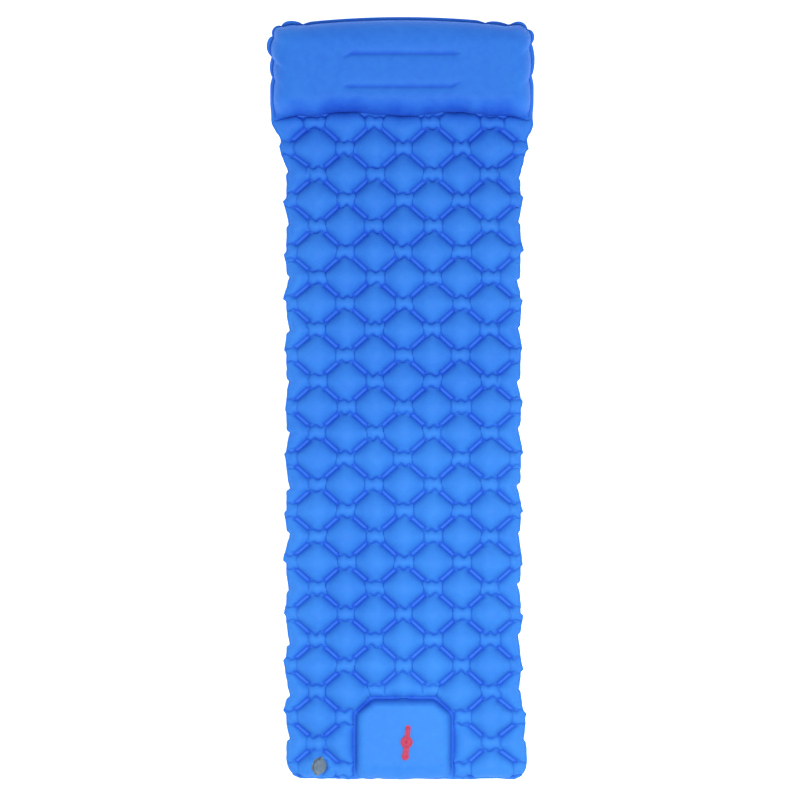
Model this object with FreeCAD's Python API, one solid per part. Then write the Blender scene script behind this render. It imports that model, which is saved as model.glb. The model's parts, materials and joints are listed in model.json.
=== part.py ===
"""Inflatable camping mattress with a raised pillow, a built-in foot pump and a corner valve.

Millimetres, +Z up. The mattress lies on z = 0 with its length along Y, the pillow at +Y and the pump at -Y.
The origin is at the bottom centre of the whole. The two sheets are welded together on the plane z = SEAM_Z.
"""

import FreeCAD, Part

import math
import os

from FreeCAD import Vector

# ---- driving dimensions --------------------------------------------------------------------------------

LENGTH = 1950.0
PAD_WIDTH = 600.0
PILLOW_WIDTH = 682.0
PILLOW_LENGTH = 269.0
SEAM_Z = 30.0
PAD_TOP = 58.0
PILLOW_TOP = 110.0
SHEET = 1.2  # drawn thickness of the coated fabric
FLANGE = 9.0  # width of the welded rim
WELD = 8.0  # width of the weld round the pump

FOOT_Y = -LENGTH / 2
HEAD_Y = LENGTH / 2
FOLD_Y = HEAD_Y - PILLOW_LENGTH  # the weld between pad and pillow, on which the pillow folds
FOLD_GAP = 1.0  # each side of the fold line
NECK_X = PILLOW_WIDTH / 2 - 12  # half width of the outline at the fold
NECK_LENGTH = 40.0  # from the fold to the pillow's full width
SHOULDER_Y = FOLD_Y - 66
EDGE_ROUND = 12.0

# Pillow
PILLOW_SEAM_Z = 46.0
PILLOW_ROUND = 30.0
PILLOW_CORNER = 46.0
PILLOW_FRONT_LEAN = 17.0  # degrees from upright
CROWN = 11.0  # how far the head edge bows out
CROWN_SHARE = 0.8  # the share of the head edge that is curved
BAFFLE_HALF = 147.0
BAFFLE_Y = (793.0, 876.5)
GROOVE_DEPTH = 10.0
GROOVE_HALF = 16.0

# Foot pump
PUMP_HALF = 125.0
PUMP_HEAD_Y = -770.0
PUMP_CHAMFER = (56.0, 50.0)
COVER_HALF = 92.0
COVER_Y = (-925.0, -805.0)
COVER_CHAMFER = 35.0
COVER_TOP = 64.0
SKIRT_RIM = 1.8
FOAM_BASE = 1.5
FOAM_TOP = 60.8
FOAM_INSET = 4.0  # from the cover's outline
FOAM_WELL = 26.0  # radius of the well that the intake hangs in
FOAM_WELL_FLOOR = 34.0

# Intake with its plug, on the pump's cover
INTAKE = Vector(8, -878, COVER_TOP)
INTAKE_TURN = -5.5  # degrees, the plug's long axis against +Y
INTAKE_BORE = 8.6
INTAKE_NECK = 12.0
INTAKE_FLAP = 10.5
INTAKE_RIM = 2.0  # neck above the cover
INTAKE_FOOT = -9.0  # neck below the cover
INTAKE_FLANGE = 20.0
INTAKE_FLANGE_THICK = 1.6
INTAKE_SPIDER = 2.0  # thickness of the ribs across the bore
STEM_HOLE = 1.6
STEM = 1.4  # radius of each check disc's stem
PLUG_DISC = 15.5
PLUG_THICK = 2.6
PLUG_GAP = 0.2  # between the neck and the disc
PLUG_BOSS = 7.7
PLUG_BOSS_LENGTH = 4.4
PLUG_GRIP = 0.8  # height of the raised ring on the disc
STRAP_END = 33.5
STRAP_WIDTH = 13.5
TAB_END = 46.5
TAB_WIDTH = 19.0
STRAP_THICK = 1.8
ANCHOR_LENGTH = 3.0
ANCHOR_PAD = 1.4  # thickness of the anchor's welded half disc

# Outlet port, welded between the sheets at the pump's head side
PORT_HALF = 18.0
PORT_HEIGHT = 10.0
PORT_Y = (-790.0, -744.0)
PORT_GAP = 0.2
DUCT_HALF = (9.0, 2.6)
OUTLET_LEAF = (11.0, 4.4)  # half width and half height
OUTLET_LEAF_THICK = 0.8

# Main valve, on the slope of the corner cell. Its heights are above the sheet, along the valve's axis.
VALVE = Vector(-217, -940, 46.5)
VALVE_TILT = 40.0
VALVE_AZIMUTH = -12.0
THROAT = 10.0
THROAT_FOOT = -4.0
NECK_R = 15.0
NECK_TOP = 7.0
NECK_FOOT = -14.0
SEAT_R = 8.0
FLAP_R = 9.5
VALVE_FLANGE = 22.5
VALVE_FLANGE_TOP = 1.4
CAP_R = 19.0
CAP_TOP = 10.0
CAP_ROOF = 2.0
CAP_CLEARANCE = 0.4
LEASH_LOW = 1.6
LEASH_THICK = 1.0
LEASH_HALF = 5.0
LEASH_REACH = 24.0  # from the valve's axis to the line the cap swings on
LEASH_HINGE = LEASH_LOW + LEASH_THICK + 0.3
NOTCH_HALF = 50.0  # the corner cell's sloping side, along the slope's level direction
NOTCH_UP = 40.0
NOTCH_DOWN = 24.5
CAP_TAB = 6.0  # how far the finger tab stands out


# ---- helpers -------------------------------------------------------------------------------------------


def rounded_wire(corners):
    """A closed wire through corners (x, y, radius), in the XY plane."""
    points = [Vector(x, y, 0) for x, y, _ in corners]
    starts, ends, edges = [], [], []
    for i, (_, _, radius) in enumerate(corners):
        here, before, after = points[i], points[i - 1], points[(i + 1) % len(points)]
        to_before = (before - here).normalize()
        to_after = (after - here).normalize()
        half = to_before.getAngle(to_after) / 2
        back = radius / math.tan(half) if radius else 0
        starts.append(here + to_before * back)
        ends.append(here + to_after * back)
        if radius:
            inward = (to_before + to_after).normalize()
            middle = here + inward * (radius / math.sin(half) - radius)
            edges.append(Part.Arc(starts[-1], middle, ends[-1]).toShape())
    for i in range(len(points)):
        edges.append(Part.LineSegment(ends[i], starts[(i + 1) % len(points)]).toShape())
    return Part.Wire(Part.__sortEdges__(edges))


def prism(wire, low, high):
    """The closed wire as a solid from z = low to z = high."""
    face = Part.Face(wire)
    face.translate(Vector(0, 0, low))
    return face.extrude(Vector(0, 0, high - low))


def inset(wire, distance):
    return wire.makeOffset2D(-distance, 2)


def ring(outer, inner, low, high, centre=Vector(0, 0, 0)):
    """A tube about Z."""
    tube = Part.makeCylinder(outer, high - low, centre + Vector(0, 0, low))
    if inner:
        tube = tube.cut(Part.makeCylinder(inner, high - low, centre + Vector(0, 0, low)))
    return tube


def block(x, y, z):
    """A box from three (low, high) pairs."""
    return Part.makeBox(x[1] - x[0], y[1] - y[0], z[1] - z[0], Vector(x[0], y[0], z[0]))


def round_level(solid, level, radius):
    """Rounds the edges that lie flat on z = level."""
    flat = [e for e in solid.Edges if all(abs(v.Z - level) < 1e-6 for v in e.Vertexes)]
    return solid.makeFillet(radius, flat)


def half_space(y, z, lean, towards=1):
    """A large block behind a plane along X through (y, z), which leans by lean degrees towards +Y or -Y."""
    size = 3000.0
    body = block((-size, size), (-size, 0), (-size, size))
    if towards < 0:
        body = block((-size, size), (0, size), (-size, size))
    body.rotate(Vector(0, 0, 0), Vector(1, 0, 0), -towards * lean)
    body.translate(Vector(0, y, z))
    return body


def spider(radius, low, high, hole):
    """A hub and four ribs inside a round opening."""
    hub = Part.makeCylinder(3.2, high - low, Vector(0, 0, low))
    ribs = block((-radius, radius), (-0.8, 0.8), (low, high))
    cross = block((-0.8, 0.8), (-radius, radius), (low, high))
    rim = Part.makeCylinder(radius, high - low, Vector(0, 0, low))
    return hub.fuse([ribs, cross]).common(rim).cut(Part.makeCylinder(hole, high - low, Vector(0, 0, low)))


def poppet(disc, disc_top, stem, bulb_low):
    """A check disc that hangs on a stem with a retaining bulb."""
    plate = Part.makeCylinder(disc, 1.0, Vector(0, 0, disc_top - 1.0))
    rod = Part.makeCylinder(stem, bulb_low + 0.5 - disc_top, Vector(0, 0, disc_top))
    bulb = Part.makeCone(2.2, 1.2, 1.5, Vector(0, 0, bulb_low))
    return plate.fuse([rod, bulb]).removeSplitter()


def place(shape, origin, turn=0.0):
    """Moves a shape drawn about the local origin to its place, turned about Z first."""
    moved = shape.copy()
    moved.rotate(Vector(0, 0, 0), Vector(0, 0, 1), turn)
    moved.translate(origin)
    return moved


def place_valve(shape):
    """Local X runs down the slope, local Y towards the head, local Z out of the valve."""
    moved = shape.copy()
    moved.rotate(Vector(0, 0, 0), Vector(0, 1, 0), VALVE_TILT)
    moved.rotate(Vector(0, 0, 0), Vector(0, 0, 1), VALVE_AZIMUTH)
    moved.translate(VALVE)
    return moved


# ---- outlines ------------------------------------------------------------------------------------------


def pad_outline():
    half = PAD_WIDTH / 2
    end = FOLD_Y - FOLD_GAP
    right = [(half, FOOT_Y, 34), (half, SHOULDER_Y, 60), (NECK_X, end, 0)]
    left = [(-x, y, r) for x, y, r in reversed(right)]
    return rounded_wire(right + left)


def pillow_outline(neck_x=NECK_X):
    half = PILLOW_WIDTH / 2
    start = FOLD_Y + FOLD_GAP
    corner_y = HEAD_Y - CROWN
    rise = CROWN / (1 - CROWN_SHARE / 2)
    crown_radius = CROWN_SHARE * half**2 / rise
    right = [(half, corner_y, PILLOW_CORNER)]
    if neck_x < half:
        right.insert(0, (half, start + NECK_LENGTH, 0))
    right.insert(0, (neck_x, start, 0))
    left = [(-x, y, r) for x, y, r in reversed(right)]
    return rounded_wire(right + [(0, corner_y + rise, crown_radius)] + left)


def pump_outline(grow=0.0):
    """The pump chamber's outline at the weld, grown outwards by grow. It meets the foot edge's weld."""
    half = PUMP_HALF + grow
    head = PUMP_HEAD_Y + grow
    bevel = grow * math.tan(math.radians(22.5))
    foot = FOOT_Y + FLANGE
    chamfer_x = half - PUMP_CHAMFER[0] - bevel * 0.1
    corners = [
        (-half, foot, 0),
        (half, foot, 0),
        (half, head - PUMP_CHAMFER[1], 0),
        (chamfer_x, head, 0),
        (-chamfer_x, head, 0),
        (-half, head - PUMP_CHAMFER[1], 0),
    ]
    return rounded_wire(corners)


def cover_outline(shrink=0.0):
    half = COVER_HALF - shrink
    foot, head = COVER_Y[0] + shrink, COVER_Y[1] - shrink
    corners = [
        (-half, foot, 0),
        (half, foot, 0),
        (half, head - COVER_CHAMFER, 0),
        (half - COVER_CHAMFER, head, 0),
        (-half + COVER_CHAMFER, head, 0),
        (-half, head - COVER_CHAMFER, 0),
    ]
    return rounded_wire(corners)


# ---- pad -----------------------------------------------------------------------------------------------


def pad_upper_space(skin):
    """The space under the pad's upper side, set in by skin from the outer surface."""
    solid = prism(inset(pad_outline(), FLANGE + skin), SEAM_Z, PAD_TOP - skin)
    solid = round_level(solid, PAD_TOP - skin, EDGE_ROUND - skin)
    slope_foot = FOLD_Y - FOLD_GAP - FLANGE / 2 - skin * 1.4
    solid = solid.cut(half_space(slope_foot, SEAM_Z + SHEET, 45, towards=-1))
    solid = solid.cut(prism(pump_outline(WELD + skin), SEAM_Z - 1, PAD_TOP + 1))
    notch = block((-NOTCH_UP, NOTCH_DOWN + skin), (-NOTCH_HALF, NOTCH_HALF + skin), (-skin, 80))
    return solid.cut(place_valve(notch))


def rim(wire, low, high, inner):
    """The flat welded rim between a wire and the wire set in by inner."""
    return prism(wire, low, high).cut(prism(inset(wire, inner), low - 1, high + 1))


def pad_top_sheet():
    shell = pad_upper_space(0).cut(pad_upper_space(SHEET))
    top = SEAM_Z + SHEET
    edge = rim(pad_outline(), SEAM_Z, top, FLANGE)
    weld = prism(pump_outline(WELD), SEAM_Z, top).cut(prism(pump_outline(), SEAM_Z - 1, top + 1))
    fold = prism(inset(pad_outline(), FLANGE), SEAM_Z, top).common(
        half_space(FOLD_Y - FOLD_GAP - FLANGE / 2 - 1.4 * SHEET, SEAM_Z, 45, towards=-1)
    )
    hole = place_valve(Part.makeCylinder(NECK_R + 0.1, 10, Vector(0, 0, -5)))
    sheet = shell.fuse([edge, weld, fold]).cut(hole)
    return sheet.cut(outlet_envelope(PORT_GAP)).removeSplitter()


def pad_bottom_sheet():
    low, high = 0.0, SEAM_Z
    body = prism(inset(pad_outline(), FLANGE), low, high)
    body = round_level(body, low, EDGE_ROUND)
    groove = prism(pump_outline(WELD), low - 1, high - SHEET)
    groove = groove.cut(prism(pump_outline(), low - 2, high))
    body = body.cut(groove)
    inner = prism(inset(pad_outline(), FLANGE + SHEET), low + SHEET, high + 1)
    inner = round_level(inner, low + SHEET, EDGE_ROUND - SHEET)
    main = inner.cut(prism(pump_outline(WELD + SHEET), low - 1, high + 2))
    pump = inner.common(prism(inset(pump_outline(), SHEET), low - 1, high + 2))
    edge = rim(pad_outline(), high - SHEET, high, FLANGE)
    sheet = body.cut([main, pump]).fuse(edge)
    return sheet.cut(outlet_envelope(PORT_GAP)).removeSplitter()


# ---- pillow --------------------------------------------------------------------------------------------


def pillow_front(skin):
    """Everything on the pad's side of the pillow's leaning front, set in by skin."""
    return half_space(FOLD_Y + FOLD_GAP + FLANGE / 2 + skin, SEAM_Z, PILLOW_FRONT_LEAN)


def baffle_groove(y, top):
    """A diamond-shaped bar that cuts a baffle's groove into a surface at z = top."""
    around = [(-GROOVE_HALF, 0), (0, -GROOVE_DEPTH), (GROOVE_HALF, 0), (0, GROOVE_DEPTH), (-GROOVE_HALF, 0)]
    profile = Part.makePolygon([Vector(-BAFFLE_HALF, y + across, top + up) for across, up in around])
    return Part.Face(profile).extrude(Vector(2 * BAFFLE_HALF, 0, 0))


def pillow_space(skin):
    """The space under the pillow's upper sheet, set in by skin from the outer surface."""
    top = PILLOW_TOP - skin
    solid = prism(inset(pillow_outline(PILLOW_WIDTH / 2), FLANGE + skin), PILLOW_SEAM_Z, top)
    solid = round_level(solid.cut(pillow_front(skin)), top, PILLOW_ROUND - skin)
    solid = solid.common(prism(inset(pillow_outline(), FLANGE + skin), PILLOW_SEAM_Z, top))
    for y in BAFFLE_Y:
        solid = solid.cut(baffle_groove(y, top))
    return solid


def pillow_rim(low, high):
    """The pillow's flat welded rim, on three sides."""
    return rim(pillow_outline(), low, high, FLANGE).cut(pillow_front(0))


def pillow_top_sheet():
    shell = pillow_space(0).cut(pillow_space(SHEET))
    return shell.fuse(pillow_rim(PILLOW_SEAM_Z, PILLOW_SEAM_Z + SHEET)).removeSplitter()


def pillow_bottom_sheet():

    def lower_space(skin, top):
        plan = inset(pillow_outline(PILLOW_WIDTH / 2), FLANGE + skin)
        solid = round_level(prism(plan, skin, top), skin, EDGE_ROUND - skin)
        return solid.common(prism(inset(pillow_outline(), FLANGE + skin), skin, top))

    body = lower_space(0, PILLOW_SEAM_Z)
    inner = lower_space(SHEET, PILLOW_SEAM_Z + 1)
    above = block((-400, 400), (FOLD_Y, HEAD_Y), (SEAM_Z - 1, PILLOW_TOP))
    sheet = body.cut(pillow_front(0).common(above)).cut(inner.cut(pillow_front(SHEET).common(above)))
    fold = prism(inset(pillow_outline(), 0.5), SEAM_Z - SHEET, SEAM_Z)
    fold = fold.cut(half_space(FOLD_Y, 0, 0)).common(half_space(FOLD_Y + FOLD_GAP + FLANGE + 1, 0, 0))
    return sheet.fuse([fold, pillow_rim(PILLOW_SEAM_Z - SHEET, PILLOW_SEAM_Z)]).removeSplitter()


def pillow_baffle(y):
    """An upright strap of fabric that ties the pillow's two sheets together."""
    half = BAFFLE_HALF - 1
    top = PILLOW_TOP - GROOVE_DEPTH - 2 * SHEET
    return block((-half, half), (y - SHEET / 2, y + SHEET / 2), (SHEET, top))


# ---- foot pump -----------------------------------------------------------------------------------------


def pump_skirt():
    low, high = SEAM_Z, COVER_TOP

    def frustum(skin):
        """The pump's upper chamber, set in by skin all round and open above and below."""
        foot = inset(pump_outline(), skin) if skin else pump_outline()
        head = cover_outline(skin)
        foot.translate(Vector(0, 0, low))
        head.translate(Vector(0, 0, high))
        return Part.makeLoft([foot, head], True, True)

    return frustum(0).cut([frustum(SKIRT_RIM), outlet_envelope(PORT_GAP)])


def pump_cover():
    plate = prism(cover_outline(SKIRT_RIM + 0.4), COVER_TOP - SHEET, COVER_TOP)
    hole = Part.makeCylinder(INTAKE_NECK + 0.1, 20, INTAKE - Vector(0, 0, 10))
    return plate.cut(hole)


def pump_foam():
    body = prism(cover_outline(FOAM_INSET), FOAM_BASE, FOAM_TOP)
    well = Part.makeCylinder(FOAM_WELL, FOAM_TOP, Vector(INTAKE.x, INTAKE.y, FOAM_WELL_FLOOR))
    return body.cut(well)


def intake_base():
    neck = ring(INTAKE_NECK, INTAKE_BORE, INTAKE_FOOT, INTAKE_RIM)
    flange = ring(INTAKE_FLANGE, INTAKE_NECK - 1, -SHEET - INTAKE_FLANGE_THICK, -SHEET)
    legs = spider(INTAKE_BORE + 0.5, INTAKE_FOOT, INTAKE_FOOT + INTAKE_SPIDER, STEM_HOLE)
    return place(neck.fuse([flange, legs]).removeSplitter(), INTAKE, INTAKE_TURN)


def intake_flap():
    poppet_body = poppet(INTAKE_FLAP, INTAKE_FOOT - 0.3, STEM, INTAKE_FOOT + 4.2)
    return place(poppet_body, INTAKE, INTAKE_TURN)


def intake_plug():
    low = INTAKE_RIM + PLUG_GAP
    high = low + PLUG_THICK
    level = (low, low + STRAP_THICK)
    disc = Part.makeCylinder(PLUG_DISC, PLUG_THICK, Vector(0, 0, low))
    boss_foot = Vector(0, 0, low - PLUG_BOSS_LENGTH)
    boss = Part.makeCone(PLUG_BOSS - 0.5, PLUG_BOSS, PLUG_BOSS_LENGTH, boss_foot)
    half = STRAP_WIDTH / 2
    tab_y = TAB_WIDTH / 2 - TAB_END
    strap = block((-half, half), (0, STRAP_END), level)
    tab = Part.makeCylinder(TAB_WIDTH / 2, STRAP_THICK, Vector(0, tab_y, low))
    bridge = block((-half - 1, half + 1), (tab_y, 0), level)
    grip = ring(PLUG_DISC - 3, PLUG_DISC - 5, high, high + PLUG_GRIP)
    return place(disc.fuse([boss, strap, tab, bridge, grip]).removeSplitter(), INTAKE, INTAKE_TURN)


def plug_anchor():
    """The foot of the plug's strap, welded to the cover."""
    half = STRAP_WIDTH / 2
    start = STRAP_END + 0.4
    foot = block((-half, half), (start, start + ANCHOR_LENGTH), (0, INTAKE_RIM + PLUG_GAP + STRAP_THICK))
    pad = Part.makeCylinder(half, ANCHOR_PAD, Vector(0, start + ANCHOR_LENGTH, 0))
    pad = pad.common(block((-half, half), (start, start + 2 * half), (0, ANCHOR_PAD)))
    return place(foot.fuse(pad).removeSplitter(), INTAKE, INTAKE_TURN)


def port_section(half, height):
    """A boat-shaped section across the port, in the XZ plane at y = 0."""
    left, right = Vector(-half, 0, 0), Vector(half, 0, 0)
    over = Part.Arc(left, Vector(0, 0, height / 2), right).toShape()
    under = Part.Arc(right, Vector(0, 0, -height / 2), left).toShape()
    return Part.Face(Part.Wire([over, under]))


def outlet_envelope(grow=0.0):
    boat = port_section(PORT_HALF + grow, PORT_HEIGHT + grow)
    boat.translate(Vector(0, PORT_Y[0], SEAM_Z))
    return boat.extrude(Vector(0, PORT_Y[1] - PORT_Y[0], 0))


def outlet_port():
    half, rise = DUCT_HALF
    duct = block((-half, half), (PORT_Y[0] - 1, PORT_Y[1] + 1), (SEAM_Z - rise, SEAM_Z + rise))
    return outlet_envelope().cut(duct)


def outlet_flap():
    """A soft flap over the port's mouth inside the main chamber, hinged along its top edge."""
    y = PORT_Y[1] + 0.3
    half, rise = OUTLET_LEAF
    leaf = block((-half, half), (y, y + OUTLET_LEAF_THICK), (SEAM_Z - rise, SEAM_Z + rise))
    bead = Part.makeCylinder(0.9, 2 * half, Vector(-half, y + 0.9, SEAM_Z + rise + 0.2), Vector(1, 0, 0))
    return leaf.fuse(bead).removeSplitter()


# ---- main valve ----------------------------------------------------------------------------------------


def valve_base():
    """The valve's body, welded on the outside of the top sheet."""
    neck = ring(NECK_R, SEAT_R, NECK_FOOT, NECK_TOP)
    throat = Part.makeCylinder(THROAT, NECK_TOP - THROAT_FOOT, Vector(0, 0, THROAT_FOOT))
    flange = ring(VALVE_FLANGE, NECK_R - 1, 0, VALVE_FLANGE_TOP)
    return place_valve(neck.cut(throat).fuse(flange).removeSplitter())


def valve_spider():
    low = NECK_FOOT + 1
    rim_ring = ring(SEAT_R, SEAT_R - 1, low, low + 2)
    return place_valve(spider(SEAT_R - 0.5, low, low + 2, STEM_HOLE).fuse(rim_ring).removeSplitter())


def valve_flap():
    return place_valve(poppet(FLAP_R, NECK_FOOT - 0.3, STEM, NECK_FOOT + 5.4))


def valve_leash():
    """The cap's retaining ring round the neck, with the fixed half of its folded strap."""
    high = LEASH_LOW + LEASH_THICK
    collar = ring(CAP_R - 0.5, NECK_R + 0.1, LEASH_LOW, high)
    strap = block((-LEASH_HALF, LEASH_HALF), (-LEASH_REACH, -NECK_R - 2), (LEASH_LOW, high))
    return place_valve(collar.fuse(strap).removeSplitter())


def valve_cap():
    """The cap closes over the outside of the neck. Its strap is the moving half of the leash."""
    low = LEASH_HINGE + 0.3
    under_roof = CAP_TOP - CAP_ROOF
    shell = ring(CAP_R, NECK_R + CAP_CLEARANCE, low, under_roof)
    roof = Part.makeCylinder(CAP_R, CAP_ROOF, Vector(0, 0, under_roof))
    roof = round_level(roof, CAP_TOP, 1.2)
    strap = block((-LEASH_HALF, LEASH_HALF), (-LEASH_REACH, -CAP_R + 1), (low, low + LEASH_THICK))
    tab = block((-LEASH_HALF, LEASH_HALF), (CAP_R - 1, CAP_R + CAP_TAB), (under_roof - 1, under_roof + 0.8))
    return place_valve(shell.fuse([roof, strap, tab]).removeSplitter())


def valve_cap_seal():
    return place_valve(ring(NECK_R - 0.5, THROAT + 0.8, NECK_TOP + 0.1, CAP_TOP - CAP_ROOF))


# ---- export --------------------------------------------------------------------------------------------

NODES = {
    "pad_top_sheet": pad_top_sheet,
    "pad_bottom_sheet": pad_bottom_sheet,
    "pillow_top_sheet": pillow_top_sheet,
    "pillow_bottom_sheet": pillow_bottom_sheet,
    "pillow_baffle_front": lambda: pillow_baffle(BAFFLE_Y[0]),
    "pillow_baffle_rear": lambda: pillow_baffle(BAFFLE_Y[1]),
    "pump_skirt": pump_skirt,
    "pump_cover": pump_cover,
    "pump_foam": pump_foam,
    "intake_base": intake_base,
    "intake_flap": intake_flap,
    "intake_plug": intake_plug,
    "plug_anchor": plug_anchor,
    "outlet_port": outlet_port,
    "outlet_flap": outlet_flap,
    "valve_base": valve_base,
    "valve_spider": valve_spider,
    "valve_flap": valve_flap,
    "valve_leash": valve_leash,
    "valve_cap": valve_cap,
    "valve_cap_seal": valve_cap_seal,
}

os.makedirs("parts", exist_ok=True)
for name, make in NODES.items():
    shape = make()
    shape.exportStep(f"parts/{name}.step")
    print(name, len(shape.Solids), shape.isValid(), round(shape.Volume))
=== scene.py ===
"""The looks of an inflatable camping mattress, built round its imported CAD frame.

Metres, +Z up, +Y towards the pillow. The fabric is made by a cloth simulation written here in numpy: two
sheets that are welded to each other along bars, a rim and a pump outline, and blown up until they are tight.
"""

import json
import math

import bpy
import numpy as np
from mathutils import Matrix, Vector


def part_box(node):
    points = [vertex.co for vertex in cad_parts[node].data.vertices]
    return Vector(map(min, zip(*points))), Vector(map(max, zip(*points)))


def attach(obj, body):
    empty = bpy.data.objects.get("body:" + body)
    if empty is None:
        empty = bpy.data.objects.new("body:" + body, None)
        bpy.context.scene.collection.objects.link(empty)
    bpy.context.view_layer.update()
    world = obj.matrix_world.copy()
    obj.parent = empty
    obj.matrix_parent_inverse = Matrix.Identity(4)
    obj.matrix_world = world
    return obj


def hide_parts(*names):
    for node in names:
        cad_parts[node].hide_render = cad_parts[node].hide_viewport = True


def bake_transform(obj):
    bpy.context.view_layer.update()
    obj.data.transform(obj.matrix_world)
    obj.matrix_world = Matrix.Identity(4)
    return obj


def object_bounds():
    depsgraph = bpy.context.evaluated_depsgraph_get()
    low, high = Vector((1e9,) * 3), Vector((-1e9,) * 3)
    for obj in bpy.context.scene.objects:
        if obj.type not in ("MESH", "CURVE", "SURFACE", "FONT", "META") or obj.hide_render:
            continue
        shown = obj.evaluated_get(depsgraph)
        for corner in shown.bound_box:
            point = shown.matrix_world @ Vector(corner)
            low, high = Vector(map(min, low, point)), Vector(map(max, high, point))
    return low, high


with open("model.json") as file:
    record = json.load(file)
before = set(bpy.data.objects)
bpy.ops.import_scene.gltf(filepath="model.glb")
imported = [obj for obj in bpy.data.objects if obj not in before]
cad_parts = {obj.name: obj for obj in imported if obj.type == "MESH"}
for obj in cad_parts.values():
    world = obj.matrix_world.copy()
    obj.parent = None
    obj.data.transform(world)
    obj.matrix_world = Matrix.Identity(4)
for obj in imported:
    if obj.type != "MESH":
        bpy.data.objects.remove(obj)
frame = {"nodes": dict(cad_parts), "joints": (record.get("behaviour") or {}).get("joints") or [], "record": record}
cad_low, cad_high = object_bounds()

# ---- sizes taken from the frame

JOINTS = {joint["name"]: joint for joint in frame["joints"]}
MOUNTS = {mount["name"]: mount for mount in frame["record"]["mounts"]}
FOLD_Y, SEAM_Z = JOINTS["pillow_fold"]["pos_m"][1:]
FOOT_Y, HEAD_Y = cad_low.y, cad_high.y
PILLOW_TOP = cad_high.z
PUMP_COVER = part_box("pump_cover")
PUMP_TOP = PUMP_COVER[1].z
RIM_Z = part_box("pillow_bottom_sheet")[1].z
BAFFLES_Y = [sum(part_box(f"pillow_baffle_{name}"), Vector()).y / 2 for name in ("front", "rear")]
INTAKE = sum(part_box("intake_base"), Vector()) / 2
FOAM_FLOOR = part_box("pump_foam")[0].z - 0.0008  # the bottom sheet under the foam
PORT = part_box("outlet_port")
PORT_COVER = PORT[1].z + 0.0022  # the fabric over the port
PORT_INSIDE = 0.010  # how far the outlet port reaches into the pump
PLUG_ACROSS = -Vector(JOINTS["plug_swing"]["axis"])
VALVE_OUT = Vector(MOUNTS["valve_throat"]["axis"])
VALVE_ACROSS = Vector(JOINTS["cap_swing"]["axis"])
VALVE = Vector(MOUNTS["valve_throat"]["pos_m"]) - 0.0015 * VALVE_OUT

# ---- sizes of the welded pattern

STEPS = 20  # grid steps from one row of diamonds to the next
STEP_Y = 0.0662 / STEPS
STEP_X = 0.0739 / STEPS
PAD_ROWS = round((FOLD_Y - FOOT_Y) / STEP_Y)
NECK_ROWS = 8  # grid rows between the fold and the crease at the foot of the pillow's front
PAD_SIDE = 81  # grid steps from the centre line to the pad's edge
REGULAR_SIDE = 60  # within these steps the columns are evenly spaced
BAR_HALF = 2  # a weld bar's half width, in steps
BAR_START = 10  # from a node of the pattern to the end of a weld bar, in half steps
TUCK = 5  # from a node to the tucks above and below it
PAD_RIM = 1  # the rim weld's width, in steps
SHOULDER = 0.014  # how much wider each side gets at first, towards the pillow
SHOULDER_START, SHOULDER_LENGTH = FOLD_Y - 0.16, 0.11
NECK_FLARE = 0.052  # the length before the fold over which it gets as wide as the pillow
FOOT_FLARE = 0.016  # how much wider the foot end is, on the side away from the valve
FLARE_START, FLARE_LENGTH = FOOT_Y + 0.26, 0.20
FOOT_CORNERS = (0.050, 0.036)  # the radius at the valve's side and at the other side
FILM = 0.0006  # the two sheets' thickness together, where they are welded
PAD_SLACK = 1.11  # the flat fabric's size as a share of the inflated size
NODE_SLACK = 0.06  # how much more there is at the nodes of the pattern
VALVE_SLACK = 0.08  # how much more there is round the valve
RIM_SLACK = 1.04
PUMP_SLACK = 1.03
PUFF = 0.012  # how far each sheet starts from the welds' level
EAR_OUT = (0.003, 0.009)  # the least and the most that a crumpled ear stands out at the pad's side
NOTCH_OUT = (-0.010, -0.005)
STEEP, LONG = (0.7, 1.4), (4.0, 8.0)  # the length of an ear's or a notch's two flanks, in steps
PUMP_HEAD = -0.766  # the y of the weld at the pump's head
PUMP_HEAD_ROW = round((FOLD_Y - PUMP_HEAD) / STEP_Y)
PUMP_SIDE = 34  # steps from the centre line to the weld at the pump's side
PUMP_CHAMFER = 12  # the size of the pump's cut corners, in steps
PUMP_SLOPE = 10.0  # steps from the pump's weld to its flat top
PUMP_FOOT_SLOPE = 14.0  # the same at the foot end
VALVE_SEAT = 0.0245  # radius of the flat fabric under the valve's flange
VALVE_HOLE = 0.0103  # radius of the hole under the valve
INTAKE_HOLE = 0.0089
# how the fabric is drawn in round that hole: radii before, and the same radii after
INTAKE_BEFORE, INTAKE_AFTER = (0.0075, 0.0122, 0.020), (0.0090, 0.0116, 0.020)

# ---- the crease between the pad and the pillow

CREASE = FOLD_Y + 0.0165  # its y between the waves
CREASE_WAVE, CREASE_PERIOD = 0.010, 0.275  # it waves towards the head, once either side of the middle
CREASE_WAVES_HALF = 0.25  # half the width over which it waves
CREASE_RIPPLE = 0.0012
CREASE_DROP = 0.012  # how far it drops at the pillow's ends
CREASE_MIDDLE_HALF = 0.27  # half the width between the drops
CREASE_FADE = 0.06  # the length over which the waves stop and the drops start

# ---- sizes of the pillow

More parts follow.
